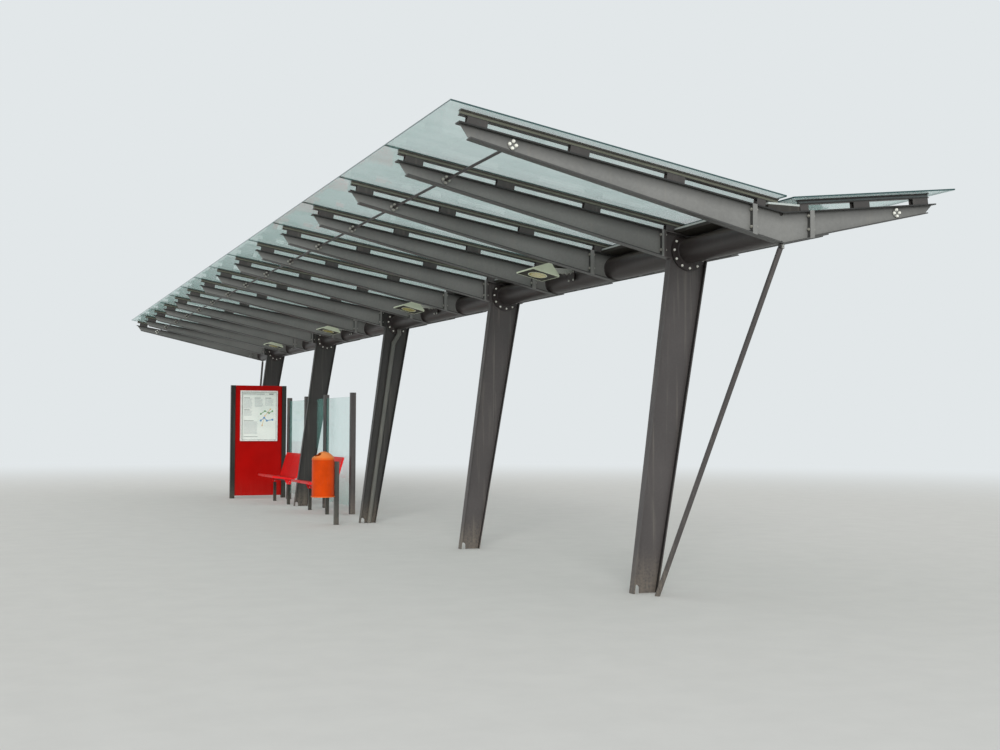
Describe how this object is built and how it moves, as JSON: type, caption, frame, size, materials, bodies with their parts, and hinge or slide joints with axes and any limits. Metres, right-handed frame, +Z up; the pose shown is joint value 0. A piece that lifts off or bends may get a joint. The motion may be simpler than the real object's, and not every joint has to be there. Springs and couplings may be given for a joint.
{
  "type": "bus shelter",
  "caption": "Bus shelter with a V of glass on tapered steel rafters and leaning columns, a tube along the valley, benches, glass screen, poster panel and litter bin",
  "frame": {"origin": "on the ground at the middle of the middle column's foot", "axes": "+X across the roof towards the short wing, +Y along the roof towards the panel's end, +Z up"},
  "size_m": [4.2529, 18.902, 3.5345],
  "materials": {
    "frame_paint": "satin",
    "rail_paint": "satin",
    "tie_steel": "satin",
    "seal_rubber": "matte",
    "roof_glass": "clear, faintly green",
    "gutter_metal": "dull",
    "pipe_paint": "satin",
    "light_body": "satin",
    "light_glass": "clear over a warm reflector",
    "screen_glass": "clear",
    "bench_red": "semi-gloss, perforated",
    "panel_red": "semi-gloss",
    "case_metal": "satin",
    "poster_paper": "matte",
    "case_glass": "clear",
    "bin_plastic": "semi-gloss"
  },
  "bodies": {
    "root": {"column_1": "frame_paint", "column_2": "frame_paint", "column_3": "frame_paint", "column_4": "frame_paint", "column_5": "frame_paint", "rafter_knees": "frame_paint", "long_wings": "frame_paint", "short_wings": "frame_paint", "long_blocks": "frame_paint", "short_blocks": "frame_paint", "long_rails": "rail_paint", "short_rails": "rail_paint", "glazing_seals": "seal_rubber", "long_glass": "roof_glass", "short_glass": "roof_glass", "valley_gutter": "gutter_metal", "downpipe": "pipe_paint", "torsion_tube": "frame_paint", "tube_flanges": "frame_paint", "long_tie_rods": "frame_paint", "short_tie_rods": "frame_paint", "long_tie_plates": "frame_paint", "short_tie_plates": "frame_paint", "end_struts": "frame_paint", "light_brackets": "tie_steel", "floodlights": "light_body", "light_lenses": "light_glass", "screen_posts": "frame_paint", "screen_glass": "screen_glass", "bench_legs": "frame_paint", "bench_brackets": "bench_red", "bench_beams": "frame_paint", "bench_shells": "bench_red", "panel_posts": "frame_paint", "panel_sheet": "panel_red", "poster_case": "case_metal", "poster_sheet": "poster_paper", "poster_glass": "case_glass", "bin_post": "frame_paint", "bin_body": "bin_plastic", "bin_hood": "bin_plastic"}
  },
  "joints": []
}
